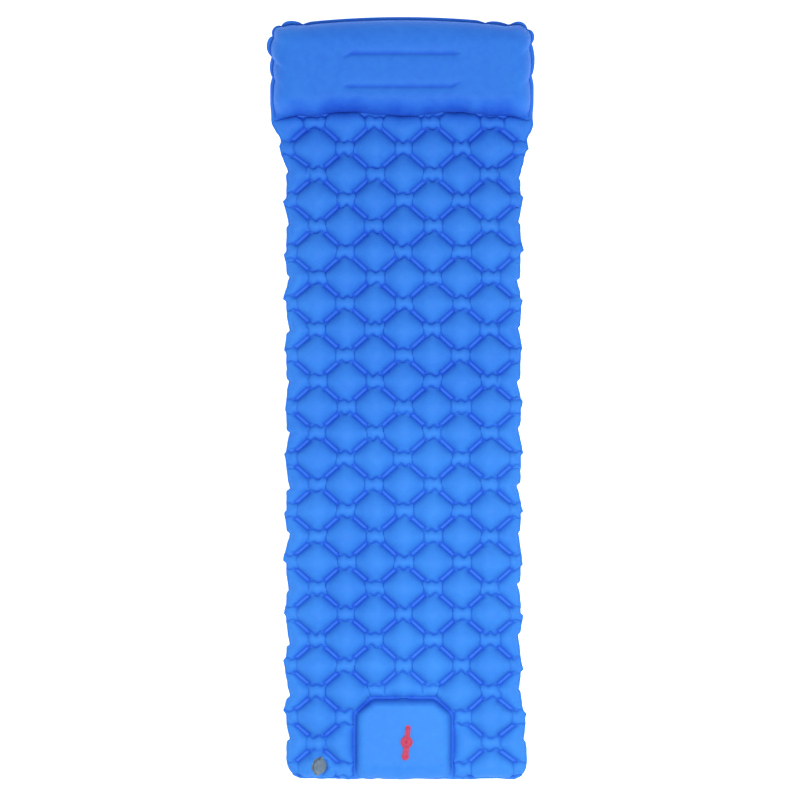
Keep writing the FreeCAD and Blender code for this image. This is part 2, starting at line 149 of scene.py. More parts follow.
FRONT_STEPS, HEAD_STEPS, SIDE_STEPS = 18, 18, 14  # grid steps up each rounded wall
BEFORE_STEPS, BETWEEN_STEPS, AFTER_STEPS = 6, 24, 7  # across the top, either side of the baffles
LINE_ROW = FRONT_STEPS + BEFORE_STEPS
PILLOW_SIDE = 91  # grid steps from the centre line to the edge
PILLOW_RIM = 2  # the rim's width, in steps
LINE_HALF = 40  # half the length of the weld lines over the baffles, in steps
PILLOW_LEAN = -0.004  # the pillow is sewn on a little off the middle
PILLOW_FLANGE = 0.0105  # the rim's width
PILLOW_SIDE_WALL = 0.055  # how far in from the rim the side wall reaches the top
PILLOW_EDGE = 0.337  # half the width, between the lobes
PILLOW_NECK = 0.002  # how much less that is at the crease
PILLOW_FULL = PILLOW_TOP - 0.003  # the top before the pressure lifts it
CROWN = 0.0155  # how much nearer the head the edge is at the middle than at the ends
CROWN_HALF = 0.27
CORNER = 0.045
GATHER = 0.009  # how deep the gathers in the pillow's front are
WALL_POWER = 0.92  # the lower, the more upright the walls start
END_POWER = 1.1  # added to it at the ends of the front
BAFFLE_TOP = PILLOW_TOP - 0.0075
BAFFLE_ROWS = 16
GROOVE = 0.0012  # how fast the fabric rises from the line over a baffle, per step squared
LOBE, NOTCH = 0.0125, 0.0075  # how far a lobe of the gathered rim stands out of a notch, and a notch's depth
# the notches' places along the rim, from the side past the corner to the head
LEFT_NOTCHES = (-0.138, -0.086, -0.030, 0.024, 0.082)
LEFT_LOBES = (0.7, 1.35, 0.9, 1.1)  # how far each lobe between them stands out, next to the usual one
RIGHT_NOTCHES = (-0.135, -0.052, 0.002, 0.062, 0.124)
RIGHT_LOBES = (0.8, 0.9, 1.0, 0.7)

# ---- sizes of the small parts

FOAM_INSET = 0.004  # from the cover's edge to the foam's
FOAM_CORNER = 0.037  # how much is cut off the foam's corners
WELL_RADIUS, WELL_FLOOR = 0.026, 0.034  # the well in the foam, under the intake
PLUG_TOP = 0.0041  # the plug's top face above the cover
CAP_RIBS, CAP_RADIUS = 30, 0.0190
CAP_RIB_Z = (0.0042, 0.0085)
CAP_BARE = 0.3  # radians either side of the tab and of the hinge without ribs
RING_PARTS, RING_RADIUS, RING_Z = 40, 0.0125, 0.0099  # the raised ring on the cap
SENSOR, LENS = 36, 200
VIEW_WIDTH = 2.0528  # metres of the floor that the camera sees


def smoothstep(x):
    """A soft ramp from 0, at x = 0, to 1, at x = 1."""
    t = np.clip(x, 0, 1)
    return t * t * (3 - 2 * t)


def bumpy(shape, size, seed):
    """Smooth noise from -1 to 1 on a grid, with features about size steps across."""
    random = np.random.default_rng(seed)
    coarse = random.uniform(-1, 1, (shape[0] // size + 3, shape[1] // size + 3))
    row = np.linspace(0, coarse.shape[0] - 2.001, shape[0])
    column = np.linspace(0, coarse.shape[1] - 2.001, shape[1])
    r, c = row.astype(int), column.astype(int)
    fr, fc = smoothstep(row - r)[:, None], smoothstep(column - c)[None]
    top = coarse[r][:, c] * (1 - fc) + coarse[r][:, c + 1] * fc
    low = coarse[r + 1][:, c] * (1 - fc) + coarse[r + 1][:, c + 1] * fc
    return top * (1 - fr) + low * fr


def wavy(count, size, seed):
    """Smooth noise from -1 to 1 along a line of count points."""
    return bumpy((count, 1), size, seed)[:, 0]


# ---- cloth simulation


class Sheets:
    """A top and a bottom sheet on one grid: points is (3, 2, rows, columns), with the top sheet first."""

    THREADS = (((0, 1), 1.0), ((1, 0), 1.0), ((1, 1), 0.35), ((1, -1), 0.35))

    def __init__(self, points, flat, scale):
        """flat holds the fabric's coordinates before it is blown up, and scale how much longer it is."""
        self.points = points.astype(np.float32)
        self.before = self.points.copy()
        self.target = self.points.copy()
        shape = points.shape[1:]
        self.free = np.ones(shape, np.float32)
        self.tied = np.zeros(shape[1:], bool)
        self.pull = np.zeros(shape, np.float32)
        self.lower = np.zeros(shape, np.float32)
        self.upper = np.full(shape, 1e3, np.float32)
        self.threads = [(shift, soft, self._rest(flat, scale, shift)) for shift, soft in self.THREADS]

    @staticmethod
    def _pair(array, shift):
        """The two views of array whose points are shift (rows, columns) apart."""
        down, across = shift
        first = array[..., : array.shape[-2] - down, :]
        second = array[..., down:, :]
        if across == 1:
            return first[..., :-1], second[..., 1:]
        if across == -1:
            return first[..., 1:], second[..., :-1]
        return first, second

    def _rest(self, flat, scale, shift):
        near, far = self._pair(flat, shift)
        near_scale, far_scale = self._pair(scale, shift)
        return (np.sqrt(((far - near) ** 2).sum(0)) * (near_scale + far_scale) / 2).astype(np.float32)

    def _hold_lengths(self, give):
        """Brings every pair of neighbours back to its length, once. give is how much the cloth resists being
        pushed together, as a share of how much it resists being pulled apart."""
        for shift, soft, rest in self.threads:
            near, far = self._pair(self.points, shift)
            near_free, far_free = self._pair(self.free, shift)
            for odd in (0, 1):
                every_other = slice(odd, None, 2)
                pick = (Ellipsis, every_other) if shift == (0, 1) else (Ellipsis, every_other, slice(None))
                a, b = near[pick], far[pick]
                wa, wb = near_free[pick], far_free[pick]
                gap = b - a
                length = np.sqrt(gap[0] * gap[0] + gap[1] * gap[1] + gap[2] * gap[2]) + 1e-9
                error = length - rest[pick]
                error *= np.where(error < 0, soft * give, soft)
                gap *= error / (length * (wa + wb + 1e-6))
                a += gap * wa
                b -= gap * wb

    def _push(self, pressure, spacing_area):
        """Moves each sheet outwards along its own normal, in proportion to its area."""
        across = np.gradient(self.points, axis=-1)
        along = np.gradient(self.points, axis=-2)
        normal = np.cross(along, across, axis=0)
        normal *= pressure / spacing_area * self.free
        self.points[:, 0] += normal[:, 0]
        self.points[:, 1] -= normal[:, 1]

    def _smooth(self, share):
        """The cloth's resistance to sharp bends."""
        p = self.points
        middle = p[..., 1:-1, 1:-1]
        mean = (p[..., :-2, 1:-1] + p[..., 2:, 1:-1] + p[..., 1:-1, :-2] + p[..., 1:-1, 2:]) / 4
        middle += (mean - middle) * (share * self.free[..., 1:-1, 1:-1])

    def _bound(self, level):
        """Keeps the sheets apart, above the floor, and on what holds them."""
        p = self.points
        p += (self.target - p) * self.pull
        tie = p[:, :, self.tied].mean(1)
        p[:, 0, self.tied] = tie
        p[:, 1, self.tied] = tie
        np.clip(p[2], self.lower, self.upper, out=p[2])
        np.maximum(p[2, 0], level, out=p[2, 0])
        np.minimum(p[2, 1], level, out=p[2, 1])

    def run(self, steps, passes, pressure, give, smooth, level, damping=0.85, turn=1.0):
        """pressure and smooth are (first, last) values that change evenly over the steps. turn is -1 on a
        grid whose rows run towards +Y."""
        across = self.points[:2, 0, 1:, 1:] - self.points[:2, 0, :-1, :-1]
        spacing_area = float(np.abs(across[0] * across[1]).mean())
        for step in range(steps):
            t = step / max(steps - 1, 1)
            speed = (self.points - self.before) * damping
            self.before = self.points.copy()
            self.points += speed * self.free
            self._push(turn * (pressure[0] + (pressure[1] - pressure[0]) * t), spacing_area)
            for _ in range(passes):
                self._hold_lengths(give)
            self._smooth(smooth[0] + (smooth[1] - smooth[0]) * t)
            self._bound(level)


def round_corners(x, y, side, end, radius, outward):
    """Bends a grid's two corners at the end edge round. outward is 1 if that edge faces +Y, else -1."""
    s = np.clip((np.abs(x) - (side - radius)) / radius, 0, 1)
    t = np.clip(1 - outward * (end - y) / radius, 0, 1)
    round_s = s * np.sqrt(1 - t * t / 2)
    round_t = t * np.sqrt(1 - s * s / 2)
    return x - np.sign(x) * (s - round_s) * radius, y - outward * (t - round_t) * radius, round_s, round_t


def part_films(points, edge):
    """Sets the two sheets half a film either side of the weld, except along their common edge."""
    points[2, 0] += FILM / 2 * ~edge
    points[2, 1] -= FILM / 2 * ~edge


def crease(x):
    """The y of the crease at the foot of the pillow's front."""
    wave = (1 - np.cos(2 * np.pi * x / CREASE_PERIOD)) / 2
    wave = wave * smoothstep((CREASE_WAVES_HALF - np.abs(x)) / CREASE_FADE)
    drop = CREASE_DROP * smoothstep((np.abs(x) - CREASE_MIDDLE_HALF) / CREASE_FADE)
    return CREASE + CREASE_WAVE * wave - drop + CREASE_RIPPLE * np.sin(95 * x + 1) * np.sin(41 * x)


def lean(y):
    """How far the pillow and the neck stand off the middle."""
    return PILLOW_LEAN * smoothstep((y - FOLD_Y + 0.03) / 0.045)


# ---- the pad


def pad_half_width(y):
    """The pad's half width, which flares into the pillow's neck."""
    straight = STEP_X * PAD_SIDE
    early = smoothstep((y - SHOULDER_START) / SHOULDER_LENGTH) * SHOULDER
    late = smoothstep((y - (FOLD_Y - NECK_FLARE)) / NECK_FLARE)
    return straight + early + late * (PILLOW_EDGE - PILLOW_NECK - straight - SHOULDER)


def tucks(i, j):
    """The wavy tucks that gather the fabric above and below each node of the pattern. Returns how many steps
    each point is bent to follow them, how far above the weld it may be, and how much painted shade darkens it
    in a tuck."""
    line = np.round((i - TUCK) * 2 / STEPS).astype(int)
    row = TUCK + line * STEPS / 2
    node_row = np.round(row / STEPS)
    start = np.where(node_row % 2 == 1, 0, STEPS)
    column = np.round((j - start) / (2 * STEPS)).astype(int)
    across = j - start - column * 2 * STEPS
    random = np.random.default_rng(7).uniform(size=(4, line.max() + 1, 7))
    phase, height, wave, depth = random[:, line, column + 3]
    bend = (0.35 + 0.7 * height) * np.sin(2 * np.pi * (across / (5.5 + 2.5 * wave) + phase))
    bend += 0.4 * np.sign(row / STEPS - node_row)
    near = np.clip(1 - np.abs(i - row) / 4, 0, 1) * smoothstep((8 - np.abs(across)) / 3)
    within = np.abs(across) <= TUCK + 0.5
    tucked = within & (i == row)
    # painted shade along the tucks, where the fabric folds under itself
    shade = within * np.clip(1.4 - np.abs(i - row), 0, 1) * (0.9 - 0.4 * depth)
    return bend * near, np.where(tucked, 0.001 + 0.003 * depth**2, 1.0), shade


def pump_distance(i, j):
    """Steps from the middle of the pump's weld, negative inside the pump."""
    head = PUMP_HEAD_ROW - i
    side = np.abs(j) - PUMP_SIDE
    corner = (np.abs(j) + head - (PUMP_SIDE - PUMP_CHAMFER)) * 0.7
    return np.maximum(np.maximum(side, head), corner)


def off_lines(i, j):
    """Steps from the nearest weld line of each slanting family. Both are 0 at a node of the pattern."""
    return (j - i) % (2 * STEPS) - STEPS, (j + i) % (2 * STEPS) - STEPS


def pad_plan(i, j, bend):
    """The pad's grid points, seen from above. Row 0 is the fold, and the rows before it are the neck."""
    y = FOLD_Y - (i + bend * smoothstep(pump_distance(i, j) / 4)) * STEP_Y
    beyond = np.clip((np.abs(j) - REGULAR_SIDE) / (PAD_SIDE - REGULAR_SIDE), 0, 1)
    regular = np.clip(np.abs(j), 0, REGULAR_SIDE) * STEP_X
    side = pad_half_width(y) + FOOT_FLARE * smoothstep((FLARE_START - y) / FLARE_LENGTH) * (j > 0)
    x = np.sign(j) * (regular + beyond * (side - REGULAR_SIDE * STEP_X))
    valve_corner, other_corner = FOOT_CORNERS
    x, y, _, _ = round_corners(x, y, side, FOOT_Y + 0.001, np.where(j > 0, other_corner, valve_corner), -1)
    neck = np.clip(-(i + bend * (i > -NECK_ROWS)) / NECK_ROWS, 0, 1)
    y = np.where(i < 0, FOLD_Y + (crease(x) - FOLD_Y) * neck, y)
    return np.stack([x + lean(y), y])


def valve_plane(x, y):
    """The height of the slope that the valve sits on, and each point's distance from the valve there."""
    z = VALVE.z - (VALVE_OUT.x * (x - VALVE.x) + VALVE_OUT.y * (y - VALVE.y)) / VALVE_OUT.z
    return z, np.sqrt((x - VALVE.x) ** 2 + (y - VALVE.y) ** 2 + (z - VALVE.z) ** 2)


def pad_welds(i, j, from_valve):
    """Masks of the weld bars, the rim, the weld round the pump, and the pump's inside."""
    falling, rising = (np.abs(off) for off in off_lines(i, j))
    bars = (falling <= BAR_HALF) & (rising - 0.5 * falling >= BAR_START)
    bars |= (rising <= BAR_HALF) & (falling - 0.5 * rising >= BAR_START)
    rim = (np.abs(j) >= PAD_SIDE - PAD_RIM) | (i >= PAD_ROWS - PAD_RIM)
    pump = pump_distance(i, j)
    bars &= (pump > 5) & (i > 1 - NECK_ROWS) & (from_valve > VALVE_SEAT + 0.010)
    return bars, rim, np.abs(pump) <= 1, pump < -1


def ragged_side(rows, seed):
    """How far one side of the pad stands out at each grid row: crumpled ears beside the outer nodes, and
    notches between them, each steep on one side and long on the other."""
    random = np.random.default_rng(seed)
    i = np.arange(rows, dtype=float)
    out = 0.001 + 0.0009 * wavy(rows, 4, seed + 10)
    for number, row in enumerate(range(NECK_ROWS + STEPS, rows, STEPS)):
        height = random.uniform(*(NOTCH_OUT if number % 2 else EAR_OUT))
        steep, long = random.uniform(*STEEP), random.uniform(*LONG)
        before, after = random.permutation([steep, long])
        away = i - (row + random.uniform(-4, 4))
        out += height * np.exp(-(np.abs(away / np.where(away > 0, after, before)) ** 1.3))
    return out


def pump_heights(i, j):
    """The height that the pump's foam holds its cover at."""
    side = np.clip(-(pump_distance(i, j) + 1) / PUMP_SLOPE, 0, 1)
    foot = np.clip((PAD_ROWS - PAD_RIM - i) / PUMP_FOOT_SLOPE, 0, 1)
    rise = np.sin(np.pi / 2 * side) ** 1.15 * (0.6 * foot + 0.4 * np.sin(np.pi / 2 * foot))
    sag = 0.0016 * bumpy(i.shape, 8, 5) * (1 - rise**4) * rise
    return SEAM_Z + (PUMP_TOP - 0.0002 - SEAM_Z) * rise + sag


def port_bulge(x, y):
    """How far the outlet port between the sheets holds each of them off the weld."""
    across = np.clip(1 - np.abs(x) / (PORT[1].x * 1.25), 0, 1)
    along = smoothstep((y - PORT[0].y) / 0.012 + 1) * smoothstep((PORT[1].y - y) / 0.012 + 1)
    return (PORT_COVER - SEAM_Z) * np.minimum(across * 1.1, 1) * along


def pad_slack(i, j, from_valve, rim, pump_inside):
    """How much longer the pad's flat fabric is than its inflated plan, at each grid point."""
    falling, rising = off_lines(i, j)
    from_node = np.hypot(falling, rising) / 2
    slack = PAD_SLACK + NODE_SLACK * np.exp(-((from_node / 6.0) ** 2)) + 0.012 * bumpy(i.shape, 9, 1)
    slack += VALVE_SLACK * np.exp(-((np.clip(from_valve - VALVE_SEAT, 0, 1) / 0.02) ** 2))
    slack[rim] = RIM_SLACK
    slack[pump_inside] = PUMP_SLACK
    return slack


def pad_shade(i, j, pump_weld, pump_inside, tucked):
    """How much painted shade darkens the fabric in the tucks and on the slope and weld at the pump's head."""
    # painted shade on the slope at the pump's head, which faces away from the light
    head_slope = np.clip(1 + pump_distance(i, j) / PUMP_SLOPE, 0, 1) * (np.abs(j) < PUMP_SIDE - 4)
    near_head = smoothstep((PUMP_HEAD_ROW + PUMP_SLOPE + 4 - i) / 6)
    shade = np.where(pump_inside, 0.95 * head_slope**0.5 * near_head, tucked)
    # painted shade on the weld at the pump's head and along its cut corners
    shade[pump_weld & (np.abs(j) < PUMP_SIDE - 1)] = 0.5
    return shade


def blow_up_pad(i, j):
    """The pad's points, and how welded, how much painted shade it gets and how far from the valve each of them is.
    """
    bend, tuck_height, tucked = tucks(i, j)
    plan = pad_plan(i, j, bend)
    slope, from_valve = valve_plane(*plan)
    bars, rim, pump_weld, pump_inside = pad_welds(i, j, from_valve)
    seat = from_valve < VALVE_SEAT
    slack = pad_slack(i, j, from_valve, rim, pump_inside)
    puff = PUFF + 0.002 * bumpy(i.shape, 5, 2)
    welded = bars | pump_weld | (i == -NECK_ROWS)
    puff[welded | rim] = 0
    bulge = port_bulge(*plan)
    puff = np.maximum(puff, bulge)
    start = np.empty((3, 2) + i.shape)
    start[:2] = plan[:, None]
    start[2, 0] = np.where(seat, slope - FILM, SEAM_Z + puff)
    start[2, 1] = SEAM_Z - puff
    sheets = Sheets(start, plan[:, None], slack)
    sheets.free[:, welded] = 0
    sheets.free[0, seat] = 0
    sheets.tied = rim & ~welded
    sheets.target[1] -= 0.0015 * wavy(i.shape[1], 6, 31) * (i > PAD_ROWS - 12)
    sheets.target[2] += 0.003 * bumpy(i.shape, 7, 33)
    sheets.pull[:, rim] = np.where(i < 10, 0.8, 0.25)[rim]
    sheets.lower[0] = SEAM_Z + bulge - (bulge == 0)
    sheets.upper[0] = SEAM_Z + np.where(from_valve < VALVE_SEAT + 0.02, 1, tuck_height)
    sheets.lower[1] = np.maximum(0, SEAM_Z - tuck_height)
    sheets.upper[1] = SEAM_Z - bulge
    under_foam = (pump_distance(i, j) < -5) & (i < PAD_ROWS - 7)
    sheets.upper[1, under_foam] = FOAM_FLOOR
    foam = pump_heights(i, j)
    sheets.lower[0, pump_inside] = np.maximum(sheets.lower[0], foam)[pump_inside]
    sheets.upper[0, pump_inside] = sheets.lower[0, pump_inside] + 0.0003
    sheets.run(70, 3, pressure=(0.0006, 0.0006), give=0.10, smooth=(0.02, 0.02), level=SEAM_Z)
    sheets.run(60, 3, pressure=(0.0005, 0.0002), give=0.35, smooth=(0.02, 0.004), level=SEAM_Z)
    for side in (-1, 1):
        beyond = np.clip((side * j - REGULAR_SIDE) / (PAD_SIDE - REGULAR_SIDE), 0, 1) ** 2
        along = np.clip((PAD_ROWS - 12 - i) / 8, 0, 1)
        sheets.points[0] += side * beyond * along * (i > 0) * ragged_side(i.shape[0], 20 + side)[:, None]
    part_films(sheets.points, (np.abs(j) == PAD_SIDE) | (i == PAD_ROWS))
    shade = pad_shade(i, j, pump_weld, pump_inside, tucked)
    return sheets.points, (bars | pump_weld).astype(float), shade, from_valve


# ---- the pillow


def head_edge(x):
    """The y of the pillow's edge at the head."""
    return HEAD_Y - 0.001 - CROWN * np.clip(np.abs(x) / CROWN_HALF, 0, 1) ** 2


def wall(steps):
    """Angles up a rounded wall, from its foot to its top."""
    return np.linspace(0, np.pi / 2, steps + 1)[1:]


def pillow_rows(x):
    """Each grid row's y at x, and its angle up the wall. Row 0 is the crease."""
    between = (BAFFLES_Y[1] - BAFFLES_Y[0]) / BETWEEN_STEPS
    front = BAFFLES_Y[0] - BEFORE_STEPS * between
    rear = BAFFLES_Y[1] + AFTER_STEPS * between
    foot, edge = crease(x), head_edge(x)
    head = edge - PILLOW_FLANGE
    top_steps = BEFORE_STEPS + BETWEEN_STEPS + AFTER_STEPS
    up, down = wall(FRONT_STEPS), wall(HEAD_STEPS)[-2::-1]
    y = [foot]
    y += [front - (front - foot) * math.cos(angle) for angle in up]
    y += [front + between * step + 0 * x for step in range(1, top_steps + 1)]
    y += [rear + (head - rear) * math.cos(angle) for angle in down]
    y += [head + (edge - head) * share for share in np.linspace(0, 1, PILLOW_RIM + 1)]
    angles = [0, *up] + [np.pi / 2] * top_steps + [*down] + [0] * (PILLOW_RIM + 1)
    return np.array(y), np.array(angles)


def pillow_columns():
    """Each grid column's x, for x > 0, and its angle up the side wall."""
    middle_steps = PILLOW_SIDE - SIDE_STEPS - PILLOW_RIM
    foot = PILLOW_EDGE - PILLOW_FLANGE
    top = foot - PILLOW_SIDE_WALL
    down = wall(SIDE_STEPS)[-2::-1]
    x = [*np.linspace(0, top, middle_steps + 1)]
    x += [top + (foot - top) * math.cos(angle) for angle in down]
    x += [*np.linspace(foot, PILLOW_EDGE, PILLOW_RIM + 1)]
    angles = [np.pi / 2] * (middle_steps + 1) + [*down] + [0] * (PILLOW_RIM + 1)
    return np.array(x), np.array(angles)


def lobes(along, notches, heights):
    """How far the gathered rim stands out at a distance along it from the corner: round lobes with notches
    between. heights is how far each lobe stands out, next to the usual one."""
    out = np.zeros_like(along)
    for start, end, height in zip(notches, notches[1:], heights):
        share = np.clip((along - start) / (end - start), 0, 1)
        inside = (along >= start) & (along <= end)
        out = np.where(inside, LOBE * height * np.sin(np.pi * share) ** 0.5 - NOTCH, out)
    before = np.clip((notches[0] - along) / 0.02, 0, 1)
    after = np.clip((along - notches[-1]) / 0.02, 0, 1)
    out = np.where(along < notches[0], NOTCH * (before**0.5 - 1), out)
    return np.where(along > notches[-1], NOTCH * (after**0.5 - 1), out)


def pillow_shape():
    """The pillow's two sheets as they are cut and held, before the pressure rounds them."""
    right, side_angles = pillow_columns()
    columns = np.concatenate([-right[:0:-1], right])
    side_angles = np.concatenate([side_angles[:0:-1], side_angles])
    y, angles = pillow_rows(columns)
    x = np.broadcast_to(columns, y.shape).copy()
    neck = smoothstep((CREASE + 0.03 - y) / 0.03) * PILLOW_NECK
    x *= 1 - neck / PILLOW_EDGE
    edge = head_edge(x)
    x, y, corner_x, corner_y = round_corners(x, y, PILLOW_EDGE, edge, CORNER, 1)
    lift = np.sin(angles)[:, None] * np.sin(side_angles)[None]
    rim_z = SEAM_Z + (RIM_Z - SEAM_Z) * smoothstep((y - CREASE) / 0.06)
    is_front = np.arange(len(angles)) < FRONT_STEPS
    front = (np.sin(2 * angles) * is_front)[:, None]
    low_front = (np.cos(angles) ** 2 * is_front)[:, None]
    gathers = 0.6 * wavy(y.shape[1], 8, 41) + 0.4 * wavy(y.shape[1], 15, 44)
    gathers = np.broadcast_to(gathers, y.shape)
    points = np.empty((3, 2) + y.shape)
    points[0] = x + PILLOW_LEAN
    points[1] = y
    points[1, 0] += GATHER * gathers * front * np.sin(side_angles)
    ends = smoothstep((np.abs(x) - 0.24) / 0.08)
    points[2, 0] = rim_z + (PILLOW_FULL - rim_z) * lift ** (WALL_POWER + END_POWER * ends * low_front)
    points[2, 1] = rim_z * (1 - lift**0.7)
    # painted shade on the pillow's front: darkest at the crease, fading up the wall, in patches along the gathers
    height = np.clip((y - crease(x)) / (0.052 + 0.018 * gathers), 0, 1)
    shade = (1 - height) ** 1.5 * (0.75 + 0.25 * gathers) * smoothstep((0.33 - np.abs(x)) / 0.08)
    return points, rim_z, corner_x, corner_y, 0.98 * shade


def blow_up_pillow():
    """The pillow's points, and how welded each of them is and how much painted shade its front gets."""
    points, rim_z, corner_x, corner_y, front_painted_shade = pillow_shape()
    rows, columns = points.shape[2:]
    i, j = np.mgrid[0:rows, -PILLOW_SIDE : PILLOW_SIDE + 1]
    side_rim, head_rim = np.abs(j) > PILLOW_SIDE - PILLOW_RIM - 1, i > rows - PILLOW_RIM - 2
    rim = (side_rim | head_rim) & (i > 0)
    sheets = Sheets(points, points, 1.012 + 0.006 * bumpy(i.shape, 9, 42))
    sheets.free[:, i == 0] = 0
    sheets.tied = rim
    out_x = np.sign(j) * np.where(side_rim, np.maximum(corner_x, 0.01), corner_x)
    out_y = np.where(head_rim, np.maximum(corner_y, 0.01), corner_y * (corner_x > 0))
    length = np.hypot(out_x, out_y) + 1e-6
    x, y = points[0, 0] - PILLOW_LEAN, points[1, 0]
    along = (PILLOW_EDGE - np.abs(x)) - (head_edge(x) - y)
    stand = np.where(j < 0, lobes(along, LEFT_NOTCHES, LEFT_LOBES), lobes(along, RIGHT_NOTCHES, RIGHT_LOBES))
    stand *= smoothstep((y - FOLD_Y) / 0.05)
    sheets.target[0] += out_x / length * stand
    sheets.target[1] += out_y / length * stand
    droop = np.maximum(np.abs(j) - (PILLOW_SIDE - PILLOW_RIM), i - (rows - 1 - PILLOW_RIM))
    sheets.target[2] -= 0.0025 * droop.clip(0, PILLOW_RIM)
    sheets.pull[:] = 0.045
    sheets.pull[:, rim] = 0.7
    sheets.upper[0] = PILLOW_TOP + 0.001
    end = smoothstep((np.abs(j) - (LINE_HALF - 6)) / 12)
    for row, towards in ((LINE_ROW, 1), (LINE_ROW + BETWEEN_STEPS, -1)):
        turned = 3 * towards * smoothstep((towards * j - LINE_HALF + 7) / 10)
        groove = BAFFLE_TOP + GROOVE * (i - row - turned) ** 2
        groove += (PILLOW_TOP - BAFFLE_TOP) * end
        sheets.upper[0] = np.minimum(sheets.upper[0], groove)
    sheets.run(80, 4, pressure=(0.00008, 0.00008), give=0.3, smooth=(0.02, 0.004), level=rim_z, turn=-1.0)
    part_films(sheets.points, (np.abs(j) == PILLOW_SIDE) | (i == rows - 1) | (i == 0))
    # the rim counts as a little welded, which darkens it: partly the weld's own colour, partly painted shade under
    # the pillow's bulge
    return sheets.points, 0.3 * rim, front_painted_shade


# ---- meshes


def grid_faces(shape, falling):
    """The grid's triangles. falling says which squares are cut along their falling diagonal."""
    number = np.arange(shape[0] * shape[1]).reshape(shape)
    a, b = number[:-1, :-1], number[:-1, 1:]
    d, c = number[1:, :-1], number[1:, 1:]
    cut = falling[..., None]
    one = np.where(cut, np.stack([a, d, c], -1), np.stack([a, d, b], -1))
    two = np.where(cut, np.stack([a, c, b], -1), np.stack([b, d, c], -1))
    return np.concatenate([one.reshape(-1, 3), two.reshape(-1, 3)])


def creases(points):
    """How deep in a crease of the fabric each point is, from 0 to 1, which sets the painted shade there."""
    z = points[2]
    mean = z.copy()
    mean[2:-2, 2:-2] = (z[:-4, 2:-2] + z[4:, 2:-2] + z[2:-2, :-4] + z[2:-2, 4:]) / 4
    return np.clip(np.abs(mean - z) / 0.0030 * np.sign(mean - z), 0, 1)


def add_object(name, data):
    """A new object in the scene."""
    added = bpy.data.objects.new(name, data)
    bpy.context.collection.objects.link(added)
    return added


def new_piece(name, vertices, faces):
    """A smooth-shaded mesh object."""
    mesh = bpy.data.meshes.new(name)
    mesh.from_pydata(vertices, [], faces)
    mesh.shade_smooth()
    return add_object(name, mesh)


def fabric_piece(name, points, faces, weld, shade=0.0):
    """A sheet's mesh, with how welded each point is and how much painted shade it gets in its creases, for the
    material. shade is the least painted shade that each point gets."""
    used = np.unique(faces)
    renumber = np.zeros(points[0].size, int)
    renumber[used] = np.arange(len(used))
    piece = new_piece(name, points.reshape(3, -1).T[used].tolist(), renumber[faces].tolist())
    # the crease attribute is how much painted shade the material puts on each point
    for key, values in (("weld", weld), ("crease", np.maximum(creases(points), shade))):
        attribute = piece.data.attributes.new(key, "FLOAT", "POINT")
        attribute.data.foreach_set("value", values.ravel()[used].astype(np.float32))
    return piece


def make_pad():
    """The pump's skin, and the pad's and the neck's two sheets, cut out of one pair of sheets."""
    i, j = np.mgrid[-NECK_ROWS : PAD_ROWS + 1, -PAD_SIDE : PAD_SIDE + 1].astype(float)
    points, weld, shade, from_valve = blow_up_pad(i, j)
    open_intake(points)
    falling, rising = off_lines(i + 0.5, j + 0.5)
    faces = grid_faces(i.shape, (np.abs(falling) < np.abs(rising))[:-1, :-1])
    pump = pump_distance(i, j).ravel()[faces].mean(1)
    hole = (from_valve < VALVE_HOLE) | (intake_distance(points[:, 0]) < INTAKE_HOLE)
    whole = ~hole.ravel()[faces].any(1)
    neck = (i.ravel()[faces] < 0).any(1)
    skin = fabric_piece("pump_skin", points[:, 0], faces[whole & (pump <= 0)], weld, shade)
    pad = []
    for name, sheet, kept in (("top", 0, whole & (pump > 0)), ("bottom", 1, True)):
        sheet_faces = faces[:, ::-1] if sheet else faces
        pad.append(fabric_piece(f"pad_{name}", points[:, sheet], sheet_faces[kept & ~neck], weld, shade))
        pad.append(fabric_piece(f"neck_{name}", points[:, sheet], sheet_faces[kept & neck], weld, shade))
    return skin, pad


def intake_distance(points):
    """Each point's distance from the intake's axis."""
    return np.hypot(points[0] - INTAKE.x, points[1] - INTAKE.y)


def open_intake(points):
    """Draws the cover's fabric round the intake in, so that the hole's edge ends inside the intake's neck."""
    top = points[:, 0]
    distance = intake_distance(top)
    near = (distance > INTAKE_BEFORE[0]) & (distance < INTAKE_BEFORE[-1])
    wanted = np.interp(distance[near], INTAKE_BEFORE, INTAKE_AFTER)
    for axis, centre in ((0, INTAKE.x), (1, INTAKE.y)):
        top[axis][near] = centre + (top[axis][near] - centre) * wanted / distance[near]


def make_pillow():
    """The pillow's two sheets and the baffles that hold them together."""
    points, weld, front_painted_shade = blow_up_pillow()
    rows, columns = points.shape[2:]
    i, j = np.mgrid[0 : rows - 1, 0 : columns - 1]
    faces = grid_faces((rows, columns), (j < columns / 2) == (i < rows / 2))
    top = fabric_piece("pillow_top", points[:, 0], faces[:, ::-1], weld, front_painted_shade)
    bottom = fabric_piece("pillow_bottom", points[:, 1], faces, weld)
    baffles = []
    held = slice(PILLOW_SIDE - LINE_HALF, PILLOW_SIDE + LINE_HALF + 1)
    for name, row in (("front", LINE_ROW), ("rear", LINE_ROW + BETWEEN_STEPS)):
        baffles.append(make_baffle(f"baffle_{name}", points[:, :, row, held]))
    return top, bottom, baffles


def make_baffle(name, ends):
    """The upright strap under a weld line, from the bottom sheet to the top one. ends is (3, 2, columns)."""
    share = np.linspace(0.004, 0.996, BAFFLE_ROWS)[:, None]
    points = ends[:, 0, None] * share + ends[:, 1, None] * (1 - share)
    bow = np.sin(np.pi * share)
    points[1] += 0.0012 * bow * np.sin(np.arange(points.shape[2]) * 0.5)
    faces = grid_faces(points.shape[1:], np.zeros((BAFFLE_ROWS - 1, points.shape[2] - 1), bool))
    weld = np.broadcast_to((bow < 0.3).astype(float), points.shape[1:])
    return fabric_piece(name, points, faces, weld)


# ---- foam and moulded parts


